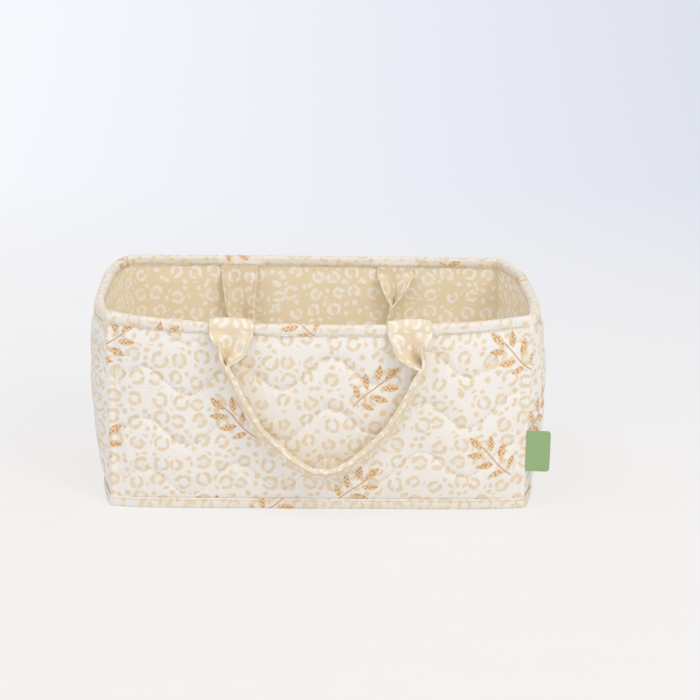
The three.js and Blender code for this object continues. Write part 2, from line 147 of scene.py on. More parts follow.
def half_spans(v):
    """Half the length between its seams of a long wall, and of an end wall."""
    return mix(seam_width_foot, seam_width_rim, v) / 2, mix(seam_depth_foot, seam_depth_rim, v) / 2


def side_of(place):
    wrapped = np.mod(place, 4.0)
    side = np.minimum(np.floor(wrapped), 3).astype(int)
    return side, 2 * (wrapped - side) - 1


def bowed(side, u, v):
    return 1 - np.abs(u) ** mix(bow_power_foot[side], bow_power_rim[side], np.sqrt(v))


def sharp_plan(place, v):
    """Outer stitched face in plan: the whole part of place is the side, the rest runs along it."""
    side, u = side_of(place)
    half_width, half_depth = half_spans(v)
    bow = mix(bow_foot[side], bow_rim[side], v) + wall_belly[side] * 4 * v * (1 - v)
    is_long = side % 2 == 0
    out = np.where(is_long, half_depth, half_width) + bow * bowed(side, u, v)
    run = u * np.where(is_long, half_width, half_depth)
    x, y = np.choose(side, [run, out, -run, -out]), np.choose(side, [-out, run, out, -run])
    # The back right corner is drawn in at the rim
    from_corner = np.abs(np.mod(place, 4.0) - 2)
    pull = corner_pull * v**3 * smooth(1 - from_corner / corner_pull_reach, 0, 1)
    return np.stack([x - pull, y], -1)


def span_of(side, v):
    return 2 * np.where(np.mod(side, 2) == 0, *half_spans(v))


def further(place, by, v):
    """The place that is that many millimetres further round, also over a corner seam."""
    corner = np.round(place)
    before, after = span_of(corner - 1, v), span_of(corner, v)
    run = (place - corner) * np.where(place >= corner, after, before) + by
    return corner + run / np.where(run >= 0, after, before)


def plan(place, v):
    """The same face with its corner seams softened, most at the rim."""
    soft = mix(corner_soft_foot, corner_soft_rim[np.mod(np.round(place), 4).astype(int)], v**3)
    steps = (-1, -0.5, 0, 0.5, 1)
    return sum(sharp_plan(further(place, step * soft, v), v) for step in steps) / len(steps)


def rim_top(place):
    side, u = side_of(place)
    return rim_height - rim_sags[side] * bowed(side, u, 1)


def wall_top(place):
    return rim_top(place) - binding_half_width


def wall(place, z, out):
    """A point of the wall at height z that stands out from the outer stitched face."""
    place, z, out = np.broadcast_arrays(*(np.asarray(a, float) for a in (place, z, out)))
    v = np.clip((z - wall_foot) / (wall_top(place) - wall_foot), 0, 1)
    along = unit(plan(further(place, normal_reach, v), v) - plan(further(place, -normal_reach, v), v))
    outwards = np.stack([along[..., 1], -along[..., 0]], -1)
    flat = plan(place, v) + outwards * out[..., None]
    return np.concatenate([flat, z[..., None]], -1)


def wall_facing(place, z):
    return unit(wall(place, z, 1.0) - wall(place, z, 0.0))


def add_object(name, data):
    made = bpy.data.objects.new(name, data)
    scene.collection.objects.link(made)
    return made


def add_piece(name, points, faces, material, body):
    """A piece from points in millimetres, riding on its body if it has one."""
    mesh = bpy.data.meshes.new(name)
    mesh.from_pydata((points * MM).tolist(), [], faces)
    mesh.polygons.foreach_set("use_smooth", np.ones(len(mesh.polygons), bool))
    mesh.materials.append(material)
    piece = add_object(name, mesh)
    if body:
        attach(piece, body)
    return piece


def loft(name, rings, cloth, material, body="caddy_body", looped=False):
    """A closed mesh from rings of points in step. cloth is each point's place on the cloth, with one
    more column than the rings, and one more row where looped. An open run gets a cap at both ends."""
    count, size, _ = rings.shape
    k, i = np.indices((count if looped else count - 1, size)).reshape(2, -1)
    j, after = (i + 1) % size, (k + 1) % count
    faces = np.stack([k * size + i, k * size + j, after * size + j, after * size + i], -1)
    corners = np.stack([cloth[k, i], cloth[k, i + 1], cloth[k + 1, i + 1], cloth[k + 1, i]], 1)
    if not looped:
        i = np.arange(size // 2 - 1)
        for ring, way in ((0, 1), (count - 1, -1)):
            cap = np.stack([i, size - 1 - i, size - 2 - i, i + 1], -1)[:, ::way]
            faces = np.concatenate([faces, ring * size + cap])
            corners = np.concatenate([corners, cloth[ring][cap]])
    points = rings.reshape(-1, 3)
    a, b, c, d = (points[faces[:, i]] for i in range(4))
    volume = np.einsum("ij,ij->", a, np.cross(b, c)) + np.einsum("ij,ij->", a, np.cross(c, d))
    if volume < 0:
        faces, corners = faces[:, ::-1], corners[:, ::-1]
    piece = add_piece(name, points, faces.tolist(), material, body)
    layer = piece.data.uv_layers.new(name="cloth")
    layer.data.foreach_set("uv", (corners.reshape(-1) * MM).astype(np.float32))
    piece.data.set_sharp_from_angle(angle=sharp_edge)
    return piece


def slab(name, outer, inner, cloth, material):
    """A thick sheet of cloth between two grids of points in step."""
    rings = np.concatenate([outer, inner[:, ::-1]], 1)
    return loft(name, rings, np.concatenate([cloth, cloth[:, ::-1], cloth[:, :1]], 1), material)


def cloth_places(across, up):
    return np.stack(np.broadcast_arrays(across, up), -1)


def stand_for(piece, slot, fill, *nodes):
    """Hides the solids that a piece stands in for. Its fill, how firmly a padded piece is filled, is not
    used.
    """
    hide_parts(*nodes)


def linear(colour):
    """A plain sRGB colour such as #e0c795 as the linear colour that a shader takes."""
    parts = [int(colour[k : k + 2], 16) / 255 for k in (1, 3, 5)]
    return (*(p / 12.92 if p <= 0.04045 else ((p + 0.055) / 1.055) ** 2.4 for p in parts), 1.0)


def node(tree, kind, links=(), operation=None, **settings):
    """Adds one node with its settings. links are values, nodes or sockets for its inputs, by label or in
    their order, which for a MapRange is the value, what it runs from and to, and what it becomes."""
    made = tree.nodes.new(f"ShaderNode{kind}")
    if operation:
        made.operation = operation
    for name, value in settings.items():
        setattr(made, name, value)
    for key, value in links.items() if isinstance(links, dict) else enumerate(links):
        if isinstance(value, bpy.types.Node):
            value = value.outputs[0]
        if isinstance(value, bpy.types.NodeSocket):
            tree.links.new(value, made.inputs[key])
        else:
            made.inputs[key].default_value = value
    return made


def new_group(name, inputs, outputs):
    """A node group with its labelled inputs and its outputs, which are plain numbers."""
    tree = bpy.data.node_groups.new(name, "ShaderNodeTree")
    for label, kind in inputs.items():
        tree.interface.new_socket(label, in_out="INPUT", socket_type=f"NodeSocket{kind}")
    for label in outputs:
        tree.interface.new_socket(label, in_out="OUTPUT", socket_type="NodeSocketFloat")
    return tree, partial(node, tree), tree.nodes.new("NodeGroupInput"), tree.nodes.new("NodeGroupOutput")


spots_per_metre, yarns_per_metre = 54, 1100
soft_edge = {"interpolation_type": "SMOOTHSTEP"}


def leopard_group():
    """Leopard spots: open rings about 13 mm across in even rows, small blots between them, and some
    tinted centres. The edges are soft, as ink is that has sunk into cloth."""
    inputs = {"Cloth": "Vector", "Fullness": "Float"}
    tree, add, given, result = new_group("leopard spots", inputs, ("Ink", "Centre"))
    cells = add("VectorMath", [given.outputs[0], (spots_per_metre,) * 3], "MULTIPLY")
    wander = add("TexNoise", {"Vector": cells, "Scale": 1.7, "Detail": 2.0})
    swing = add("VectorMath", [wander.outputs["Color"], (0.5, 0.5, 0.5)], "SUBTRACT")
    bent = add("VectorMath", [swing, (0.3, 0.3, 0), cells], "MULTIPLY_ADD")
    even = {"Vector": bent, "Scale": 1.0, "Randomness": 0.45}
    spots = add("TexVoronoi", even, voronoi_dimensions="2D")
    from_spot = spots.outputs["Distance"]
    chance = add("SeparateColor", [spots.outputs["Color"]])
    radius = add("MapRange", [chance, 0, 1, 0.215, 0.3])
    off = add("Math", [from_spot, radius], "SUBTRACT")
    off = add("Math", [off], "ABSOLUTE")
    # The band swells and thins round the ring
    swell = add("TexNoise", {"Vector": cells, "Scale": 3.1, "Detail": 1.0})
    swell = add("MapRange", [swell, 0.35, 0.65, 0, 0.035])
    off = add("Math", [off, swell], "ADD")
    ring = add("MapRange", [off, 0.135, 0.072], **soft_edge)
    # One or two openings in each ring, in a direction of its own
    local = add("VectorMath", [bent, spots.outputs["Position"]], "SUBTRACT")
    local = add("VectorMath", [local, (1, 1, 0)], "MULTIPLY")
    local = add("VectorMath", [local], "NORMALIZE")
    turn = add("Math", [chance.outputs[1], 2 * math.pi], "MULTIPLY")
    for opening, width in ((0.0, 0.945), (2.7, 0.99)):
        angle = add("Math", [turn, opening], "ADD")
        along = [add("Math", [angle], wave) for wave in ("COSINE", "SINE")]
        facing = add("VectorMath", [local, add("CombineXYZ", along)], "DOT_PRODUCT")
        span = [facing.outputs["Value"], width + 0.05, width - 0.05]
        ring = add("Math", [ring, add("MapRange", span, **soft_edge)], "MULTIPLY")
    kept = add("Math", [chance.outputs[1], given.outputs[1]], "LESS_THAN")
    ring = add("Math", [ring, kept], "MULTIPLY")
    loose = {"Vector": bent, "Scale": 2.1, "Randomness": 0.9}
    blot = add("TexVoronoi", loose, voronoi_dimensions="2D").outputs["Distance"]
    blot = add("MapRange", [blot, 0.34, 0.18], **soft_edge)
    apart = add("MapRange", [from_spot, 0.45, 0.53], **soft_edge)
    alone = add("Math", [1.0, kept], "SUBTRACT")
    apart = add("Math", [apart, alone], "MAXIMUM")
    blot = add("Math", [blot, apart], "MULTIPLY")
    ink = add("Math", [ring, blot], "MAXIMUM")
    inside = add("MapRange", [from_spot, 0.24, 0.16])
    tinted = add("Math", [chance.outputs[2], 0.55], "GREATER_THAN")
    centre = add("Math", [inside, tinted], "MULTIPLY")
    centre = add("Math", [centre, kept], "MULTIPLY")
    for made, socket in zip((ink, centre), result.inputs):
        tree.links.new(made.outputs[0], socket)
    return tree


# Leaves of one sprig: place of each leaf's middle, its turn in degrees, half length and half width
sprig_leaves = (
    (0, 20, 90, 8.5, 3.6), (-8, 12, 130, 8, 3.4), (8.5, 10, 48, 8, 3.4), (-9.5, -1, 145, 8, 3.3),
    (9.5, -3, 33, 8.5, 3.4), (-8, -13, 155, 7, 3), (8, -15, 24, 7, 3),
)
sprig_width, sprig_height = 112.0, 92.0


def sprig_group():
    """Leaf sprigs about 45 mm tall, half-dropped from column to column, each leaf sprinkled with dots."""
    tree, add, given, result = new_group("leaf sprigs", {"Cloth": "Vector"}, ("Leaf", "Dots", "Stem"))
    about_z = {"rotation_type": "Z_AXIS"}
    turned = add("VectorRotate", {"Vector": given.outputs[0], "Angle": math.radians(9)}, **about_z)
    split = add("SeparateXYZ", [turned])
    across = add("Math", [split.outputs[0], 1 / (sprig_width * MM)], "MULTIPLY")
    column = add("Math", [across], "FLOOR")
    odd = add("Math", [column, 2.0], "FLOORED_MODULO")
    drop = add("Math", [odd, 0.5], "MULTIPLY")
    up = add("Math", [split.outputs[1], 1 / (sprig_height * MM), drop], "MULTIPLY_ADD")
    local = []
    for tiled, size in ((across, sprig_width), (up, sprig_height)):
        share = add("Math", [tiled], "FRACT")
        local.append(add("Math", [share, size, -size / 2], "MULTIPLY_ADD"))
    local = add("CombineXYZ", local)
    # Odd columns lean the other way, so that the rows do not read as stripes
    lean = add("Math", [odd, math.radians(-95), math.radians(38)], "MULTIPLY_ADD")
    local = add("VectorRotate", {"Vector": local, "Angle": lean}, **about_z)
    reach = None
    for place_x, place_y, turn, half_length, half_breadth in sprig_leaves:
        shifted = add("VectorMath", [local, (place_x, place_y, 0)], "SUBTRACT")
        lined = add("VectorRotate", {"Vector": shifted, "Angle": -math.radians(turn)}, **about_z)
        axes = add("SeparateXYZ", [lined])
        square = add("Math", [axes, axes], "MULTIPLY")
        bulge = add("Math", [square, -half_breadth / half_length**2, half_breadth], "MULTIPLY_ADD")
        beside = add("Math", [axes.outputs[1]], "ABSOLUTE")
        leaf = add("Math", [bulge, beside], "SUBTRACT")
        reach = leaf if reach is None else add("Math", [reach, leaf], "MAXIMUM")
    leaf = add("MapRange", [reach, -0.1, 0.35], **soft_edge)
    axes = add("SeparateXYZ", [local])
    sway = add("Math", [axes.outputs[1], 0.12], "MULTIPLY")
    sway = add("Math", [sway], "SINE")
    off = add("Math", [sway, -1.3, axes], "MULTIPLY_ADD")
    off = add("Math", [off], "ABSOLUTE")
    thin = add("MapRange", [off, 0.75, 0.35])
    far = add("Math", [axes.outputs[1], -2.0], "SUBTRACT")
    far = add("Math", [far], "ABSOLUTE")
    within = add("Math", [far, 22.0], "LESS_THAN")
    stem = add("Math", [thin, within], "MULTIPLY")
    seeded = {"Vector": local, "Scale": 0.36, "Randomness": 0.55}
    dot = add("TexVoronoi", seeded, voronoi_dimensions="2D").outputs["Distance"]
    dot = add("MapRange", [dot, 0.36, 0.24], **soft_edge)
    inner = add("Math", [reach, 0.7], "GREATER_THAN")
    dot = add("Math", [dot, inner], "MULTIPLY")
    for made, socket in zip((leaf, dot, stem), result.inputs):
        tree.links.new(made.outputs[0], socket)
    return tree


leopard = leopard_group()
sprigs = sprig_group()
leaf_colour, dot_colour, stem_colour = linear("#eacba1"), linear("#c8945f"), linear("#d6aa80")


def new_material(name, values):
    """A material, with its surface's plain values set by their labels."""
    material = bpy.data.materials.new(name)
    material.use_nodes = True
    for label, value in values.items():
        material.node_tree.nodes["Principled BSDF"].inputs[label].default_value = value
    return material, partial(node, material.node_tree)


def cover(material, colour, relief, strength, depth):
    """Gives a material's surface its colour and the low relief of its threads or grain."""
    tree = material.node_tree
    bump = node(tree, "Bump", {"Height": relief, "Strength": strength, "Distance": depth})
    for made, label in ((colour, "Base Color"), (bump.outputs[0], "Normal")):
        tree.links.new(made, tree.nodes["Principled BSDF"].inputs[label])
    return material


def woven_cotton(name, ground, ink, motifs=False, shift=(0, 0), fullness=0.85, grain=0.05, streaks=0.0):
    """Printed plain-weave cotton: matt, faintly fuzzy at grazing angles, the print soaked in rather than
    lying on top. Real yarns are about 0.3 mm; they are drawn at 0.9 mm, the finest that shows here."""
    values = {"Roughness": 0.88, "Sheen Weight": 0.12, "Sheen Roughness": 0.5, "Specular IOR Level": 0.25}
    material, add = new_material(name, values)
    uv = add("UVMap", uv_map="cloth")
    place = add("VectorMath", [uv, (shift[0] * MM, shift[1] * MM, 0)], "ADD")
    spots = add("Group", [place, fullness], node_tree=leopard)
    cast = add("TexNoise", {"Vector": place, "Scale": 14.0, "Detail": 2.0})
    tint = add("MapRange", [cast, 0.3, 0.7, 0, 0.35])
    pale = add("Math", [spots.outputs[1], 0.22], "MULTIPLY")
    wash = add("TexNoise", {"Vector": place, "Scale": 220.0, "Detail": 1.0})
    depth = add("MapRange", [wash, 0.3, 0.7])
    inks = {"Factor": depth, 6: linear(ink[0]), 7: linear(ink[1])}
    tone = add("Mix", inks, data_type="RGBA").outputs[2]
    # What is laid over the ground, and how much of it shows at each place
    layers = [(tint, linear(ground[1])), (pale, linear(ink[1])), (spots, tone)]
    if motifs:
        sprig = add("Group", [place], node_tree=sprigs)
        clear = add("Math", [sprig, 0.94], "MULTIPLY")
        layers += [(sprig.outputs[2], stem_colour), (clear, leaf_colour), (sprig.outputs[1], dot_colour)]
    base = linear(ground[0])
    for share, over in layers:
        base = add("Mix", {"Factor": share, 6: base, 7: over}, data_type="RGBA").outputs[2]
    threads = add("VectorMath", [place, (yarns_per_metre,) * 3], "MULTIPLY")
    weave = add("TexChecker", {"Vector": threads, "Scale": 1.0})
    slub = add("TexNoise", {"Vector": threads, "Scale": 0.7, "Detail": 2.0})
    stretched = add("VectorMath", [place, (2600, 180, 1)], "MULTIPLY")
    warp = add("TexNoise", {"Vector": stretched, "Scale": 1.0, "Detail": 1.0})
    texture = add("Math", [slub, 0.8, weave.outputs["Fac"]], "MULTIPLY_ADD")
    shade = add("MapRange", [slub, 0, 1, 1 - grain, 1 + grain])
    lines = add("MapRange", [warp, 0, 1, 1 - streaks, 1 + streaks])
    level = add("Math", [shade, lines], "MULTIPLY")
    final = add("VectorMath", [base, level], "MULTIPLY")
    return cover(material, final.outputs[0], texture, 0.22, 0.00025)


def plain_material(name, light, dark, size, roughness, bump_depth=0.0002, sheen=0.0):
    """A plain surface: two near colours mottled together, with a low grain."""
    material, add = new_material(name, {"Roughness": roughness, "Sheen Weight": sheen})
    where = add("TexCoord").outputs["Object"]
    cells = add("TexNoise", {"Vector": where, "Scale": 1 / (size * MM), "Detail": 3.0})
    tone = add("MapRange", [cells, 0.3, 0.7])
    colour = add("Mix", {"Factor": tone, 6: linear(light), 7: linear(dark)}, data_type="RGBA")
    return cover(material, colour.outputs[2], cells, 0.5, bump_depth)


def tag_twill():
    """Woven polyester twill tape: close slanting ribs about 0.6 mm wide, a slight gloss along the floats."""
    material, add = new_material("woven tag twill", {"Roughness": 0.6, "Sheen Weight": 0.1})
    uv = add("UVMap", uv_map="cloth")
    turned = add("VectorRotate", {"Vector": uv, "Angle": math.radians(58)}, rotation_type="Z_AXIS")
    ribs = add("TexWave", {"Vector": turned, "Scale": 300.0, "Distortion": 0.5, "Detail": 1.0})
    uneven = add("TexNoise", {"Vector": uv, "Scale": 900.0, "Detail": 2.0})
    both = add("Math", [ribs.outputs["Fac"], uneven], "MULTIPLY")
    tone = add("MapRange", [both, 0, 0.6])
    greens = {"Factor": tone, 6: linear("#8ba871"), 7: linear("#a3bf8b")}
    colour = add("Mix", greens, data_type="RGBA")
    return cover(material, colour.outputs[2], ribs.outputs["Fac"], 0.3, 0.0002)


# The binding's ground is the walls' cream made a little darker: painted shade, so that its upward faces do
# not read brighter than the walls
cream_ground, cream_ink, binding_ground_with_painted_shade = ("#f4efe7", "#f2ece0"), ("#ecdcc0", "#e8d4b3"), ("#efe9df", "#ede6d9")
tan_ground, tan_ink = ("#f5e7ca", "#f2e1c2"), ("#fffcf6", "#fdf8ef")
strap_ground, strap_ink = ("#ecdbbd", "#e8d6b3"), ("#f7f1e7", "#f3ebdd")
outer_cloths = [
    woven_cotton(f"quilted printed cotton {side}", cream_ground, cream_ink, motifs=True, shift=shift)
    for side, shift in zip(SIDES, ((31, 17), (171, 45), (263, 90), (389, 12)))
]
binding_cloth = woven_cotton("binding printed cotton", binding_ground_with_painted_shade, cream_ink, motifs=True, shift=(18, 50))
lining_cloth = woven_cotton(
    "lining printed cotton canvas", tan_ground, tan_ink, shift=(5, 9), fullness=0.92, grain=0.08, streaks=0.04
)
strap_cloth = woven_cotton(
    "strap printed cotton", strap_ground, strap_ink, shift=(47, 83), fullness=0.9, grain=0.07
)
thread_material = plain_material("polyester sewing thread", "#dcc498", "#c9ac7b", 0.8, 0.6, 0.00005, 0.2)
rim_thread = plain_material("binding sewing thread", "#e2d2b4", "#d3bf98", 0.8, 0.6, 0.00005, 0.2)
foam_material = plain_material("polyurethane foam sheet", "#f4f1e8", "#e6e0d0", 1.2, 0.95)
board_material = plain_material("grey board stiffener", "#b9a58a", "#a8957b", 2.5, 0.85)


def quilt_row(side, run, row=0):
    """Height of a quilting row above the foot, run millimetres along the wall from its middle."""
    rise = rise_share * run if side == 0 else 0
    return row_top - row * row_pitch + rise + wave_height * np.cos(wave_turn * (run - crest_place))


def quilt_relief(side, place, z):
    """How far the quilted face stands out: soft between the rows, pulled in and puckered along them."""
    length = span_of(side, 0.0)
    along = place - side
    run = (along - 0.5) * length
    slope = wave_turn * wave_height * np.sin(wave_turn * (run - crest_place))
    off = np.abs(np.mod(z - quilt_row(side, run) + row_pitch / 2, row_pitch) - row_pitch / 2)
    off = off / np.sqrt(1 + slope**2)
    top_band = rim_top(place) - rim_binding_height - 0.5
    low_band = foot_binding_height + 0.5
    held = smooth(top_band - z, -4, 12) * smooth(z - low_band, -4, 26)
    from_seam = np.minimum(along, 1 - along) * length
    puff = quilt_puff * (1 - np.exp(-((off / 4.0) ** 1.1))) - 0.35 * bell(off, 0, 1.2)
    ripple_size = mix(6.5, 9, smooth(noise(run, z, 40, side + 3), -1, 1))
    pucker = 0.42 * np.sin(2 * np.pi * run / ripple_size + 3 * noise(run, z, 25, side + 7)) * np.exp(-off / 6)
    hills = ((0.7, 55, 11), (0.3, 19, 17), (0.1, 8, 19))
    soft = sum(height * noise(run, z, size, side + seed) for height, size, seed in hills)
    face = (puff + pucker + soft * smooth(off, 0, 8)) * held
    face = face - 0.3 * bell(np.minimum(top_band - z, z - low_band), 0, 1.5)
    if side % 2 == 0:
        # The long walls' cloth is folded under at the corner seams, in a narrow raised strip
        strip = fold_rise * np.sqrt(np.clip(1 - (np.abs(from_seam - 2.3) / 2.7) ** 3, 0, 1))
        beside = smooth(from_seam, fold_width + 0.5, fold_width + 12)
        crease = -0.45 * bell(from_seam, fold_width + 0.4, 1.2)
        tuck = 0.25 * np.sin(2 * np.pi * z / 11 + 2 * noise(run, z, 20, side)) * bell(from_seam, 9, 6)
        return strip + face * beside + crease + tuck * held
    beside = smooth(from_seam, 0, 14)
    tuck = 0.4 * np.sin(2 * np.pi * z / 13 + 3 * noise(run, z, 20, side)) * bell(from_seam, 0, 12)
    return face * beside + tuck * held * smooth(from_seam, 0, 3)


def panel_grid(side, pitch, margin=seam_margin, drop=0.0):
    """Places and heights of one wall's points, closer together near its corner seams."""
    length = span_of(side, 0.0)
    run = np.linspace(margin, length - margin, int(length / pitch))
    fine = np.array([0.4, 1.0, 1.8, 2.8, 3.8, 4.6, 5.4, 6.4, 7.6]) + margin
    run = np.unique(np.concatenate([run[(run < margin + 0.1) | (run > margin + 8)], fine]))
    run = run[run <= length / 2]
    run = np.concatenate([run, (length - run)[::-1]])
    share = np.linspace(0, 1, int((wall_top(side + 0.5) - wall_foot) / pitch))
    place = side + run / length
    z = wall_foot + share[:, None] * (wall_top(place) - drop - wall_foot)
    return np.broadcast_to(place, z.shape), z, run - length / 2


def stitches(name, lines, material, body="caddy_body", length=2.6, gap=0.9, thick=0.4, sunk=0.2):
    """Sewing threads as separate short lengths that dip into the cloth at both ends. Each line is its
    points and the directions in which the cloth faces there."""
    bars, corners = [], 5
    shares = np.array([0, 0.15, 0.5, 0.85, 1.0])
    lift = np.array([-sunk - thick / 2, thick * 0.3, thick * 0.45, thick * 0.3, -sunk - thick / 2])
    turn = (np.arange(corners) * 2 * np.pi / corners)[:, None]
    for points, facing in lines:
        steps = distance_along(points)
        at = np.arange(gap, steps[-1] - length, length + gap)[:, None] + shares * length
        spot, out = (np.stack([np.interp(at, steps, a) for a in line.T], -1) for line in (points, facing))
        out = unit(out)
        side = np.cross(np.broadcast_to(unit(spot[:, -1:] - spot[:, :1]), out.shape), out)
        spot = spot + out * lift[:, None]
        around = side[:, :, None] * np.cos(turn) + out[:, :, None] * np.sin(turn)
        bars.append(spot[:, :, None] + around * thick / 2)
    bars = np.concatenate(bars)
    count, rings, size, _ = bars.shape
    k, r, i = np.indices((count, rings - 1, size)).reshape(3, -1)
    first, j = (k * rings + r) * size, (i + 1) % size
    faces = np.stack([first + i, first + j, first + size + j, first + size + i], -1).tolist()
    for first in range(0, count * rings * size, rings * size):
        last = first + (rings - 1) * size
        faces.append([first + i for i in reversed(range(size))])
        faces.append([last + i for i in range(size)])
    return add_piece(name, bars.reshape(-1, 3), faces, material, body)


def unbroken(shown, least):
    """The runs of places that are shown without a break, if they are longer than least."""
    spots = np.flatnonzero(shown)
    parts = np.split(spots, np.flatnonzero(np.diff(spots) > 1) + 1)
    return [part for part in parts if len(part) > least]


def quilting_lines(side):
    length = span_of(side, 0.0)
    margin = 9 if side % 2 == 0 else 4
    run = np.arange(margin - length / 2, length / 2 - margin, 1.0)
    place = side + 0.5 + run / length
    low, high = foot_binding_height + 2, rim_top(place) - rim_binding_height - 1
    lines = []
    for row in range(row_count):
        z = quilt_row(side, run, row)
        for part in unbroken((z > low) & (z < high), 8):
            at, level = place[part], z[part]
            lines.append((wall(at, level, quilt_relief(side, at, level)), wall_facing(at, level)))
    return lines


# Outer walls: printed cotton over thin wadding, stitched through in wavy rows
for side, name in enumerate(SIDES):
    place, z, run = panel_grid(side, 1.0 if side == 0 else 1.6)
    faces = wall(place, z, quilt_relief(side, place, z)), wall(place, z, -quilt_thickness)
    # The quilting takes up a little of the cloth's width
    panel = slab(f"quilted_{name}_panel", *faces, cloth_places(run * 1.02, z), outer_cloths[side])
    stand_for(panel, "quilted_cotton", 0.35, f"outer_{name}_panel")
    lines = quilting_lines(side)
    stitches(f"{name}_quilting_thread", lines, thread_material, length=3.0, gap=1.1, thick=0.42)


# Foam cores with worn edges, and lining walls with a little slack
for side, name in enumerate(SIDES):
    place, z, run = panel_grid(side, 4.0, margin=foam_margin, drop=layer_gap)
    from_end = np.broadcast_to(np.minimum(run - run[0], run[-1] - run), z.shape)
    worn = 0.5 * (1 - smooth(np.minimum.reduce([z - wall_foot, wall_top(place) - z, from_end]), 0, 3))
    faces = wall(place, z, -foam_inset - worn), wall(place, z, -foam_inset - foam_thickness + worn)
    core = slab(f"{name}_foam_sheet", *faces, cloth_places(run, z), foam_material)
    stand_for(core, "foam_sheet", 0.9, f"{name}_foam_core")
    place, z, run = panel_grid(side, 2.5)
    length = span_of(side, 0.0)
    from_seam = length / 2 - np.abs(run)
    ease = smooth(wall_top(place) - z, 4, 22) * smooth(from_seam, 1, 18)
    slack = 0.7 * (1 + noise(run, z, 62, side + 21)) + 0.3 * (1 + noise(run, z, 23, side + 29))
    drag = 0.5 * (1 + np.sin(2 * np.pi * z / 26 + 3 * noise(run, z, 40, side))) * np.exp(-from_seam / 22)
    hang = ease * (slack + drag * smooth(from_seam, 2, 9))
    faces = wall(place, z, -lining_inset), wall(place, z, -lining_inset - lining_thickness - hang)
    cloth = cloth_places(run, z) + np.array([side * 137.0, side * 61.0])
    lining = slab(f"lining_{name}_cloth", *faces, cloth, lining_cloth)
    stand_for(lining, "lining_cotton", None, f"lining_{name}")


def all_round(pitch):
    """Places all round the caddy and back to the first, about evenly spaced but closer at the corner
    seams, and how far along the rim each one is."""
    places = []
    for side in range(4):
        length = span_of(side, 1.0)
        run = np.linspace(0, length, int(length / pitch), endpoint=False)
        fine = np.array([0.8, 1.6, 2.6, 3.8, 5.2])
        places.append(side + np.unique(np.concatenate([run, fine, length - fine])) / length)
    around = np.append(np.concatenate(places), 4.0)
    return around, distance_along(plan(around, 1.0))


def back_strap_bulge(place):
    """The binding stands out over the two ends of the back handle that are sewn under it."""
    beside = np.abs(np.abs(plan(place, 1.0)[..., 0]) - handle_half_span)
    over = 1.5 * (1 - smooth(beside, strap_width / 2 - 1, strap_width / 2 + 5))
    return np.where(side_of(place)[0] == 2, over, 0)


def sew_binding(name, distance, section, points, girth, shift):
    """Binding tape that is folded round an edge, all round the caddy. girth is its full width."""
    around = np.append(distance_along(section), girth)
    cloth = cloth_places(distance[:, None], around) + np.array(shift)
    piece = loft(f"{name}_tape", points, cloth, binding_cloth, looped=True)
    stand_for(piece, "quilted_cotton", 0.5, name)


def bind_rim():
    """Bias tape folded over the rim: nearly flat on top, sewn through near both its edges."""
    squareness, stitched_at = 0.58, 0.72
    around, distance = all_round(1.8)
    place, run = around[:-1, None], distance[:-1, None]
    half, inner_half = binding_half_width, binding_half_width - binding_thickness
    leg = rim_binding_height - half
    down = np.linspace(0, 1, 8)
    turn = np.linspace(0, np.pi, 15)[1:-1]
    # Each point of the section: inset from the wall's middle, rise over the round's centre, and how far
    # down its leg it is
    section = [(-half, -leg * (1 - d), 1 - d) for d in down]
    across = -half * np.sign(np.cos(turn)) * np.abs(np.cos(turn)) ** squareness
    section += [(x, y, 0) for x, y in zip(across, half * np.sin(turn) ** squareness)]
    section += [(half, -leg * d, d) for d in down]
    outer_count = len(section)
    section += [(inner_half, -leg, 1), (inner_half, 0, 0)]
    section += [(inner_half * math.cos(a), inner_half * math.sin(a), 0) for a in turn[3:-3:2]]
    section += [(-inner_half, 0, 0), (-inner_half, -leg, 1)]
    section = np.array(section)
    outside = np.arange(len(section)) < outer_count
    inset, rise, legs = section.T
    gather = np.sin(2 * np.pi * run / 7.5 + 2.5 * noise(run, 0, 30, 5))
    fold = 0.2 * gather * (0.4 + legs) + 0.35 * noise(run, rise * 2, 21, 8) + 0.2 * noise(run, rise * 3, 8, 9)
    stitched = -0.45 * bell(legs, stitched_at, 0.12)
    rolled = -0.55 * smooth(legs, 0.86, 1.0)
    slanted = run + 2.5 * rise + 1.5 * inset
    wrinkle = 0.55 * np.abs(noise(slanted, 0.4 * rise + 0.4 * inset, 6, 14))
    wrinkle = wrinkle * smooth(noise(run, 0, 34, 16), -0.5, 0.5)
    pressed = -0.35 * bell(np.abs(inset), 3.4, 0.5) * (rise > 0)
    grow = np.where(outside, fold + stitched + rolled - wrinkle + pressed, 0)
    bulge = back_strap_bulge(place) * np.where(inset > 0, smooth(-rise, -2, 2.5), 0)
    size = np.hypot(inset, np.maximum(rise, 0))
    scale = (size + grow) / size
    hang = np.where(outside, 0.45 * noise(run, np.sign(inset) * 9, 17, 12), 0) * smooth(legs, 0.5, 1)
    z = rim_top(place) - half + np.where(rise > 0, rise * scale, rise) + hang
    points = wall(place, z, -wall_thickness / 2 - inset * scale - bulge)
    sew_binding("rim_binding", distance, section[:, :2], points, 60.0, (0.0, 0.0))
    level = rim_top(around) - half - leg * stitched_at
    lines = []
    for way in (-1, 1):
        out = -wall_thickness / 2 - way * (half - 0.3) - (way > 0) * back_strap_bulge(around)
        lines.append((wall(around, level, out), -way * wall_facing(around, level)))
    stitches("rim_binding_thread", lines, rim_thread)


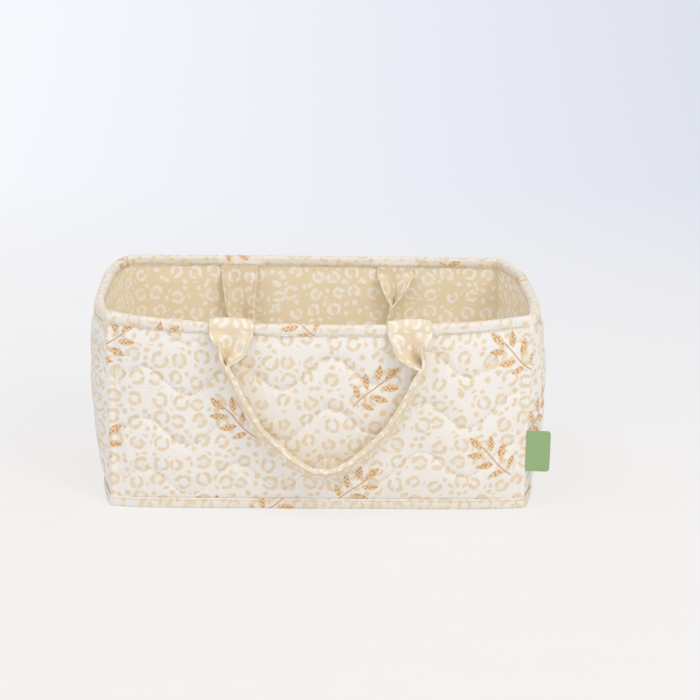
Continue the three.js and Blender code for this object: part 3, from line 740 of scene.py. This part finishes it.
def bind_foot():
    """A flatter tape round the foot, its lower edge on the ground."""
    around, distance = all_round(2.0)
    run = distance[:-1, None]
    near, far, top = layer_gap, layer_gap + foot_binding_thickness, foot_binding_height
    stitched_at = top - 1.9
    section = [(near, 0.15), (mix(near, far, 0.5), 0.0), (far - 0.2, 0.25)]
    section += [(far, z) for z in np.linspace(0.8, top - 1.6, 7)]
    section += [(far - 0.25, top - 0.9), (mix(near, far, 0.6), top - 0.2)]
    section += [(near + 0.2, top), (near, top - 0.4)]
    section += [(near, z) for z in (top * 0.66, top * 0.33)]
    section = np.array(section)
    out, z = section.T
    gather = np.sin(2 * np.pi * run / 9 + 2.5 * noise(run, 0, 30, 15))
    stitched = -0.45 * bell(z, stitched_at, 0.8)
    belly = 0.35 * np.sin(np.pi * np.clip(z / (top - 2), 0, 1))
    wave = 0.1 * gather * smooth(z, 3, 8) + 0.25 * noise(run, z * 2, 24, 18)
    grow = smooth(out, near + 0.3, far - 0.2) * (stitched + belly + wave)
    points = wall(around[:-1, None], z, out + grow)
    points[..., 2] += 0.35 * noise(run, 0, 19, 22) * smooth(z, top - 2.5, top)
    points[..., 2] = np.maximum(points[..., 2], 0)
    sew_binding("foot_binding", distance, section, points, 26.0, (140.0, 40.0))
    line = (wall(around, stitched_at, far - 0.35), wall_facing(around, stitched_at))
    stitches("foot_binding_thread", [line], thread_material)


bind_rim()
bind_foot()


def base_layer(name, low, high, inset, material, wave):
    """A flat layer of the base, out to the foot outline less an inset, with a soft edge."""
    outline = wall(all_round(4.0)[0][:-1], max(low, wall_foot), -inset)[:, :2]
    shares = np.array([0.02, 0.12, 0.25, 0.4, 0.55, 0.7, 0.82, 0.91, 0.96, 0.985, 1.0])
    out = np.concatenate([shares, shares[::-1]])[:, None]
    under = np.arange(len(out))[:, None] < len(shares)
    rounded = (high - low) * 0.35 * smooth(out, 0.97, 1.0)
    flat = outline * out[:, :, None]
    ripple = wave * (1 + noise(flat[..., 0], flat[..., 1], 60, 31)) * smooth(1 - out, 0.0, 0.1)
    z = np.where(under, low + rounded, high - rounded + ripple)
    rings = np.concatenate([flat, z[..., None]], -1)
    return loft(name, rings, np.concatenate([flat, flat[:, :1]], 1), material)


base = base_layer("outer_base_cloth", 0.0, 2.0, 0.2, outer_cloths[0], 0.0)
stand_for(base, "quilted_cotton", 0.3, "outer_base_panel")
floor_inset = wall_thickness + layer_gap
floor_top = floor_foot + lining_thickness
floor_cloth = base_layer("lining_floor_cloth", floor_foot, floor_top, floor_inset, lining_cloth, 0.35)
stand_for(floor_cloth, "lining_cotton", None, "lining_floor")
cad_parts["base_board"].data.materials.clear()
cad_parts["base_board"].data.materials.append(board_material)


# The handles' hinges and line, as in the CAD part
def front_place(x):
    return (x / half_spans(1)[0] + 1) / 2


def back_place(x):
    return 2 + (1 - x / half_spans(1)[0]) / 2


front_hinge_y, front_hinge_z = -121.521, 160.946
front_reach = binding_half_width + strap_clear + strap_thickness / 2
back_plane, back_hinge_z = 107.81, 155.438
# The loop's fold line from its root to its middle, as shares of the half span and of the drop
fold_line_shares = (
    (1, 0), (1.1, 0.13), (1.045, 0.25), (0.965, 0.39), (0.9, 0.485), (0.778, 0.645),
    (0.635, 0.76), (0.46, 0.87), (0.3, 0.94), (0.16, 0.985), (0, 1),
)
grip_roll, pinch_roll = math.radians(38), math.radians(12)
rim_spread, rim_arch_height = 1.06, 2.4
front_start_angle = math.radians(172)
front_arc_length = front_reach * (math.pi - front_start_angle)


def curve_through(points, steps=16):
    """A smooth line through points, with its bends spread by the square root of the gaps between them."""
    points = np.asarray(points, float)
    row = np.concatenate([[2 * points[0] - points[1]], points, [2 * points[-1] - points[-2]]])
    line = [points[0]]
    for four in zip(row, row[1:], row[2:], row[3:]):
        times = np.append(0, np.cumsum(np.sqrt(np.linalg.norm(np.diff(four, axis=0), axis=1))))
        for t in np.linspace(times[1], times[2], steps + 1)[1:]:
            a = [mix(four[k], four[k + 1], (t - times[k]) / (times[k + 1] - times[k])) for k in range(3)]
            b = [mix(a[k], a[k + 1], (t - times[k]) / (times[k + 2] - times[k])) for k in range(2)]
            line.append(mix(*b, (t - times[1]) / (times[2] - times[1])))
    return np.array(line)


def strap_across():
    """Places across the strap's cloth, closest at its two edges."""
    half = strap_width / 2
    edge = half - np.array([0, 0.12, 0.4, 0.9, 1.5, 2.1, 2.5, 2.9, 3.6, 5.0])
    return np.concatenate([-edge, np.linspace(-half + 6.5, half - 6.5, 21), edge[::-1]])


def strap_section(closed, at):
    """Middle line of the strap across, bent round its middle: points across and towards its open side,
    and the direction in which the cloth turns there."""
    half_turn = np.pi / 2 * closed
    bend = mix(strap_width * 0.8, np.pi * strap_fold_radius, np.sqrt(closed))
    radius = bend / (2 * half_turn)
    angle = np.clip(at / radius, -half_turn, half_turn)
    leg = np.maximum(np.abs(at) - bend / 2, 0)
    x = radius * np.sin(angle) + np.sign(at) * leg * np.cos(half_turn)
    y = radius * (1 - np.cos(angle)) + leg * np.sin(half_turn)
    pressed = 0.62 * smooth(np.abs(at), 4, strap_width / 2) * smooth(closed, 0.75, 1)
    return x - np.sign(at) * pressed, y, angle


def strap_rings(centre, along, opening, closed, width, near, far, bulge, run, seed):
    """Rings of a strap: near and far are how far its two faces stand off its middle line, and bulge is
    how far its middle arches out over its edges."""
    closed, width, near, far, bulge, run = (a[:, None] for a in (closed, width, near, far, bulge, run))
    centre, along, opening = (a[:, None, :] for a in (centre, along, opening))
    at = strap_across()
    x, y, angle = strap_section(closed, at)
    across = np.cross(opening, along)
    half = strap_width / 2
    from_edge = half - np.abs(at)
    edge = np.sqrt(np.clip(1 - np.clip(1 - from_edge, 0, 1) ** 2, 0.02, 1))
    hem = 0.32 * smooth(-from_edge, -3.0, -2.2) - 0.3 * bell(from_edge, hem_stitch, 0.5)
    swell = hem + 0.22 * noise(run, at, 13, seed) + 0.15 * noise(run, at, 5, seed + 4)
    bend_wave = 0.35 * noise(run, 0.2 * at, 24, seed + 9)

    def face(off):
        px = (x + bend_wave - np.sin(angle) * off) * width
        py = y + np.cos(angle) * off + bulge * (1 - (at / half) ** 2)
        return centre + across * px[..., None] + opening * py[..., None]

    low = face(-(near + np.minimum(1, (near + far) / strap_thickness) * swell) * edge)
    high = face((far + smooth(far, 0.4, 1.0) * swell) * edge)
    columns = np.concatenate([at, at[::-1], at[:1]])
    return np.concatenate([low, high[:, ::-1]], 1), cloth_places(columns, run)


def follow_rim(rings, place_at, share):
    """Moves the rings with the rim, which is bowed and sags away from the middle of the sewn end."""
    here, middle = (
        wall(place, wall_top(place), -wall_thickness / 2)[..., 1:]
        for place in (place_at(rings[..., 0]), place_at(handle_half_span))
    )
    rings[..., 1:] += share[:, None, None] * (here - middle)
    return rings


def hem_lines(rings, from_end, sewn_from):
    """Stitch lines along both hems: on the outer face all along, on the inner face near the rim only."""
    at = strap_across()
    lines = []
    for hem in (hem_stitch - strap_width / 2, strap_width / 2 - hem_stitch):
        outer = int(np.argmin(np.abs(at - hem)))
        inner = 2 * len(at) - 1 - outer
        for column, other, sewn_to in ((outer, inner, np.inf), (inner, outer, 44)):
            path = rings[:, column]
            facing = unit(path - rings[:, other])
            for part in unbroken((from_end > sewn_from) & (from_end < sewn_to), 6):
                lines.append((path[part], facing[part]))
    return lines


def rim_arch(angle):
    """The slack cloth's rise over the rim, at an angle on the round about the hinge line."""
    return rim_arch_height * np.sin(np.clip(angle, 0, math.pi)) ** 2


def build_strap(name, body, start, plane, top, place_at, closing_from, pinches, sways, near, far, seed):
    """A handle's free strap from the rim down to the loop and back up. start is the line of its left end
    above the fold line, and each pinch is how far from the rim the strap is folded shut. near and far
    say how far its faces stand off at its end and further on, and between which distances they grow.
    The front strap rides on its own body and spreads where it lies over the rim."""
    spread = fold_line_shares[1][0] if body else 1.0
    fold = [
        (-min(across, spread) * handle_half_span, plane, mix(top, loop_floor_height, down))
        for across, down in fold_line_shares
    ]
    left = np.concatenate([start, curve_through(fold)])
    left = left[np.concatenate([[True], np.linalg.norm(np.diff(left, axis=0), axis=1) > 1e-6])]
    steps, fine_to, fine_pitch, pitch = distance_along(left), 48, 0.5, 1.8
    total = steps[-1]
    coarse = np.linspace(fine_to, total, int((total - fine_to) / pitch))
    run = np.append(np.arange(0, fine_to, fine_pitch), coarse)
    points = np.stack([np.interp(run, steps, a) for a in left.T], -1)
    points = np.concatenate([points, (points * [-1, 1, 1])[-2::-1]])
    from_end, length = np.append(run, run[-2::-1]), np.append(run, 2 * total - run[-2::-1])
    out = from_end - closing_from
    left_half = np.arange(len(points)) < len(run)
    # The front loop hangs a little off centre, and its right pinch is pulled further out
    drop = (top - points[:, 2]) / (top - loop_floor_height)
    loop_sway, pinch_sway = sways
    points[:, 0] += loop_sway * smooth(drop, 0.04, 0.3)
    points[:, 0] += np.where(left_half, 0, pinch_sway * bell(drop, 0.14, 0.08))
    tangent = unit(np.gradient(points, length, axis=0))
    pinch = np.where(left_half, *pinches)
    share = np.clip(out / (pinch - closing_from), 0, 1) ** 1.25
    closed = np.clip(2 / np.pi * np.arccos(1 - share) * smooth(out, 0, 9), 0.01, 1)
    roll = pinch_roll * smooth(out, 0, pinch + 4) + (grip_roll - pinch_roll) * smooth(out, 35, 120)
    roll = (roll + math.radians(3.0) * noise(length, 0, 30, seed + 40) * smooth(out, 30, 60))[:, None]
    # Over the rim the strap faces straight away from the hinge line, below it to the front
    on_round = 1 - smooth(out, -1.0, 4.0)[:, None]
    away = np.where(left_half[:, None], 1, -1) * np.cross(tangent, [1.0, 0.0, 0.0])
    facing = unit(mix(np.array([0.0, -1.0, 0.0]), away, on_round))
    opening = facing * np.cos(roll) + np.cross(facing, tangent) * np.sin(roll)
    width, bulge = np.ones(len(points)), np.zeros(len(points))
    if body:
        width = mix(1.0, rim_spread, 1 - smooth(from_end, 6, 26))
        bulge = rim_arch(front_start_angle + from_end / front_reach)
    near, far = (mix(a, b, smooth(from_end, low, high)) for a, b, low, high in (near, far))
    rings, cloth = strap_rings(points, tangent, opening, closed, width, near, far, bulge, length, seed)
    rings = follow_rim(rings, place_at, 1 - smooth(out, 0, 22))
    piece = loft(name, rings, cloth, strap_cloth, body=body)
    lines = hem_lines(rings, from_end, max(closing_from, 0) + 1.0)
    return piece, stitches(f"{name}_thread", lines, thread_material, body=body, thick=0.36, sunk=0.15)


def on_front_round(x, angle):
    """Points on the round about the front handle's hinge line."""
    y, z = front_hinge_y + front_reach * np.cos(angle), front_hinge_z + front_reach * np.sin(angle)
    return np.stack(np.broadcast_arrays(x, y, z), -1)


# Front handle: over the rim on a round about its hinge line, then straight down. Its near face is thin
# where it lies on its sewn end and full below it
front_strap, _ = build_strap(
    "front_strap",
    "front_handle",
    start=on_front_round(-handle_half_span, np.linspace(front_start_angle, math.pi, 5)),
    plane=front_hinge_y - front_reach,
    top=front_hinge_z - strap_root_drop,
    place_at=front_place,
    closing_from=-0.5,
    pinches=(30.0, 30.0),
    sways=(3.5, 4.0),
    near=(-0.15, 1.0, front_arc_length + 1.5, front_arc_length + 7),
    far=(0.35, 1.02, 0, 1.5),
    seed=3,
)
stand_for(front_strap, "lining_cotton", 0.4, "front_handle_strap")

# Its two sewn ends: up the inside of the binding, over the rim, ending under the strap
for way, name in ((-1, "left"), (1, "right")):
    tuck, tail = rim_binding_height - binding_half_width + 2.0, 3.2
    inside, over = np.linspace(-tuck, 0, 14, endpoint=False), np.linspace(0, math.pi, 36)
    below = np.linspace(0, -tail, 14)[1:]
    angle = np.concatenate([0 * inside, over, 0 * below + math.pi])
    line = on_front_round(way * handle_half_span, angle)
    line[:, 2] += np.concatenate([inside, 0 * over, below])
    run = distance_along(line)
    tangent = unit(np.gradient(line, run, axis=0))
    opening = np.cross(tangent, [1.0, 0.0, 0.0])
    near = smooth(run, -1, 1.2)
    far = mix(1.0, -0.4, smooth(run[-1] - run, tail - 0.5, 0.4)) * mix(0.6, 1, smooth(run, 0, 1.2))
    whole = np.ones(len(line))
    # The same cloth place as the strap's where the two meet on the round
    cloth_run = run - run[-1] + tail + front_arc_length
    rings, cloth = strap_rings(
        line, tangent, opening, 0.01 * whole, rim_spread * whole, near, far, rim_arch(angle), cloth_run, 3
    )
    if way > 0:
        cloth = cloth * [-1, 1] + [0, 37]
    piece = loft(f"front_{name}_sewn_end", follow_rim(rings, front_place, whole), cloth, strap_cloth)
    stand_for(piece, "lining_cotton", 0.4, f"front_handle_{name}_end")

# Back handle: out from under the binding, flat on the lining, hanging down from its hinge line
back_hidden = 5.5
back_start_z = back_hinge_z + back_hidden - np.arange(0, back_hidden, 0.5)
back_strap, back_thread = build_strap(
    "back_strap",
    None,
    start=np.stack(np.broadcast_arrays(-handle_half_span, back_plane, back_start_z), -1),
    plane=back_plane,
    top=back_hinge_z,
    place_at=back_place,
    closing_from=5.0,
    pinches=(95.0, 36.0),
    sways=(0.0, 0.0),
    near=(0.55, 1.0, 0.5, 3.0),
    far=(0.1, 1.0, 0.5, 3.0),
    seed=23,
)
stand_for(
    back_strap, "lining_cotton", 0.4, "back_handle_strap", "back_handle_left_end", "back_handle_right_end"
)
for piece in (back_strap, back_thread):
    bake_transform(piece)

# Woven tag caught in the corner seam: a flat folded tape with rounded outer corners, bent a little
tag_length, tag_height, tag_thickness, tag_corner, tag_drop, tag_tuck = 19.0, 36.5, 0.9, 3.0, 3.5, 1.5
low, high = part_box("side_label")
straight = tag_length - tag_corner
rounding = straight + tag_corner * np.sin(np.linspace(0, np.pi / 2, 9))[1:]
along = np.concatenate([np.linspace(-tag_tuck, straight, 16), rounding])
cut = tag_corner - np.sqrt(tag_corner**2 - np.clip(along - straight, 0, tag_corner) ** 2)
up = np.linspace(0, 1, 25)[:, None]
z = cut + up * (tag_height - 2 * cut)
x = np.broadcast_to(along, z.shape)
edge = smooth(np.minimum.reduce([z - cut, tag_height - cut - z, tag_length - x]), -0.2, 0.9)
ridge = 0.12 * bell(np.minimum.reduce([z, tag_height - z, tag_length - x]), 1.6, 0.5)
share = x / tag_length
curl = 1.1 * share**2 + 0.5 * np.sin(np.pi * up) * share + 0.25 * noise(x, z, 14, 77)
half = tag_thickness / 2 * (0.35 + 0.65 * edge) - ridge
middle_y = (low.y + high.y) / 2 / MM - curl
front, behind = (
    np.stack([low.x / MM + x, middle_y + way * half, low.z / MM - tag_drop + z], -1) for way in (-1, 1)
)
tag = slab("side_tag", front, behind, cloth_places(x, z), tag_twill())
stand_for(tag, "tag_twill", None, "side_label")

# Stage: one seamless pale sweep, floor and backdrop in one sheet, in metres
sweep_front, sweep_depth, sweep_rise, sweep_radius, sweep_half = -9.0, 1.3, 3.2, 1.1, 9.0
ground = np.append(sweep_front, np.linspace(-2.0, sweep_depth, 12))
turn, climb = np.linspace(0, np.pi / 2, 20)[1:], np.linspace(sweep_radius, sweep_rise, 5)[1:]
bent = sweep_depth + sweep_radius * np.append(np.sin(turn), np.ones(len(climb)))
back = np.append(ground, bent)
up = np.concatenate([0 * ground, sweep_radius * (1 - np.cos(turn)), climb])
across = np.linspace(-sweep_half, sweep_half, 9)
points = np.stack(np.broadcast_arrays(across, back[:, None], up[:, None]), -1)
k, i = np.indices((len(back) - 1, len(across) - 1)).reshape(2, -1)
first, after = k * len(across) + i, (k + 1) * len(across) + i
faces = np.stack([first, first + 1, after + 1, after], -1).tolist()
paper = plain_material("seamless background paper", "#e9e9ec", "#e7e7eb", 40.0, 0.95, 0.0)
sweep = add_piece("studio_sweep", points.reshape(-1, 3) / MM, faces, paper, None)
sweep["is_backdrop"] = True
# Painted light: most of what is seen of the paper is its own pale glow, more of it further back, warm near
# the caddy, lighter at the far left and darker to the right, standing in for the light across the floor and
# backdrop
tree = paper.node_tree
add = partial(node, tree)
seen = add("LightPath")
glow = add("Math", [seen.outputs["Is Camera Ray"], seen.outputs["Is Glossy Ray"]], "ADD")
glow = add("Math", [glow, seen.outputs["Is Transmission Ray"]], "ADD")
where = add("SeparateXYZ", [add("TexCoord").outputs["Object"]])
away = add("MapRange", [where.outputs[1], -0.2, 1.3])
part = add("MapRange", [away, 0, 1, 0.65, 0.93])
glow = add("Math", [glow, part], "MULTIPLY", use_clamp=True)
# Painted light falloff across the backdrop: lighter at the far left, darker to the right
right = add("MapRange", [where, -0.5, 0.8])
painted_light_backdrop_tones = {"Factor": right, 6: linear("#f8faff"), 7: linear("#dfe3ef")}
painted_far_backdrop_light = add("Mix", painted_light_backdrop_tones, data_type="RGBA").outputs[2]
tone = add("Mix", {"Factor": away, 6: linear("#faf7f2"), 7: painted_far_backdrop_light}, data_type="RGBA").outputs[2]
lit = add("Emission", {"Color": tone, "Strength": 1.0})
both = add("MixShader", [glow, tree.nodes["Principled BSDF"], lit])
tree.links.new(both.outputs[0], tree.nodes["Material Output"].inputs["Surface"])

# Softboxes: place, aim, size, power and colour
for name, place, aim, size, power, colour in (
    ("key softbox", (1.1, -1.35, 1.75), (0, 0, 0.08), 0.9, 13.5, "#fffaf2"),
    ("fill softbox", (-1.3, -1.6, 1.0), (0, 0, 0.08), 1.8, 3.0, "#f4f7ff"),
    ("low softbox", (0.1, -1.8, 0.3), (0, 0, 0.06), 1.2, 1.9, "#fffaf4"),
    ("top softbox", (-0.7, -0.3, 2.2), (0, 0, 0.1), 1.2, 7.5, "#f0f4ff"),
):
    data = bpy.data.lights.new(name, "AREA")
    data.shape, data.size, data.energy = "DISK", size, power
    data.color = linear(colour)[:3]
    lamp = add_object(name, data)
    lamp.location = place
    lamp.rotation_euler = (Vector(aim) - Vector(place)).to_track_quat("-Z", "Y").to_euler()
    lamp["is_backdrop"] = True

scene.world = bpy.data.worlds.new("studio")
scene.world.use_nodes = True
sky = scene.world.node_tree.nodes["Background"]
sky.inputs["Color"].default_value = linear("#f6f7fa")
sky.inputs["Strength"].default_value = 0.76

# Camera, placed from the corners and seams that the photograph shows
scene.view_settings.view_transform = "Standard"
camera_data = bpy.data.cameras.new("camera")
camera_data.lens, camera_data.sensor_width = 95.13, 36.0
scene.camera = camera = add_object("camera", camera_data)
pitch, yaw, tilt = (math.radians(a) for a in (16.119, -1.831, 0.984))
turns = (yaw, "Z"), (math.pi / 2 - pitch, "X"), (tilt, "Z")
pan, nod, lean = (Matrix.Rotation(angle, 3, axis) for angle, axis in turns)
camera.rotation_euler = (pan @ nod @ lean).to_euler()
camera.location = (-0.02273, -1.60471, 0.57185)

low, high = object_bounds()
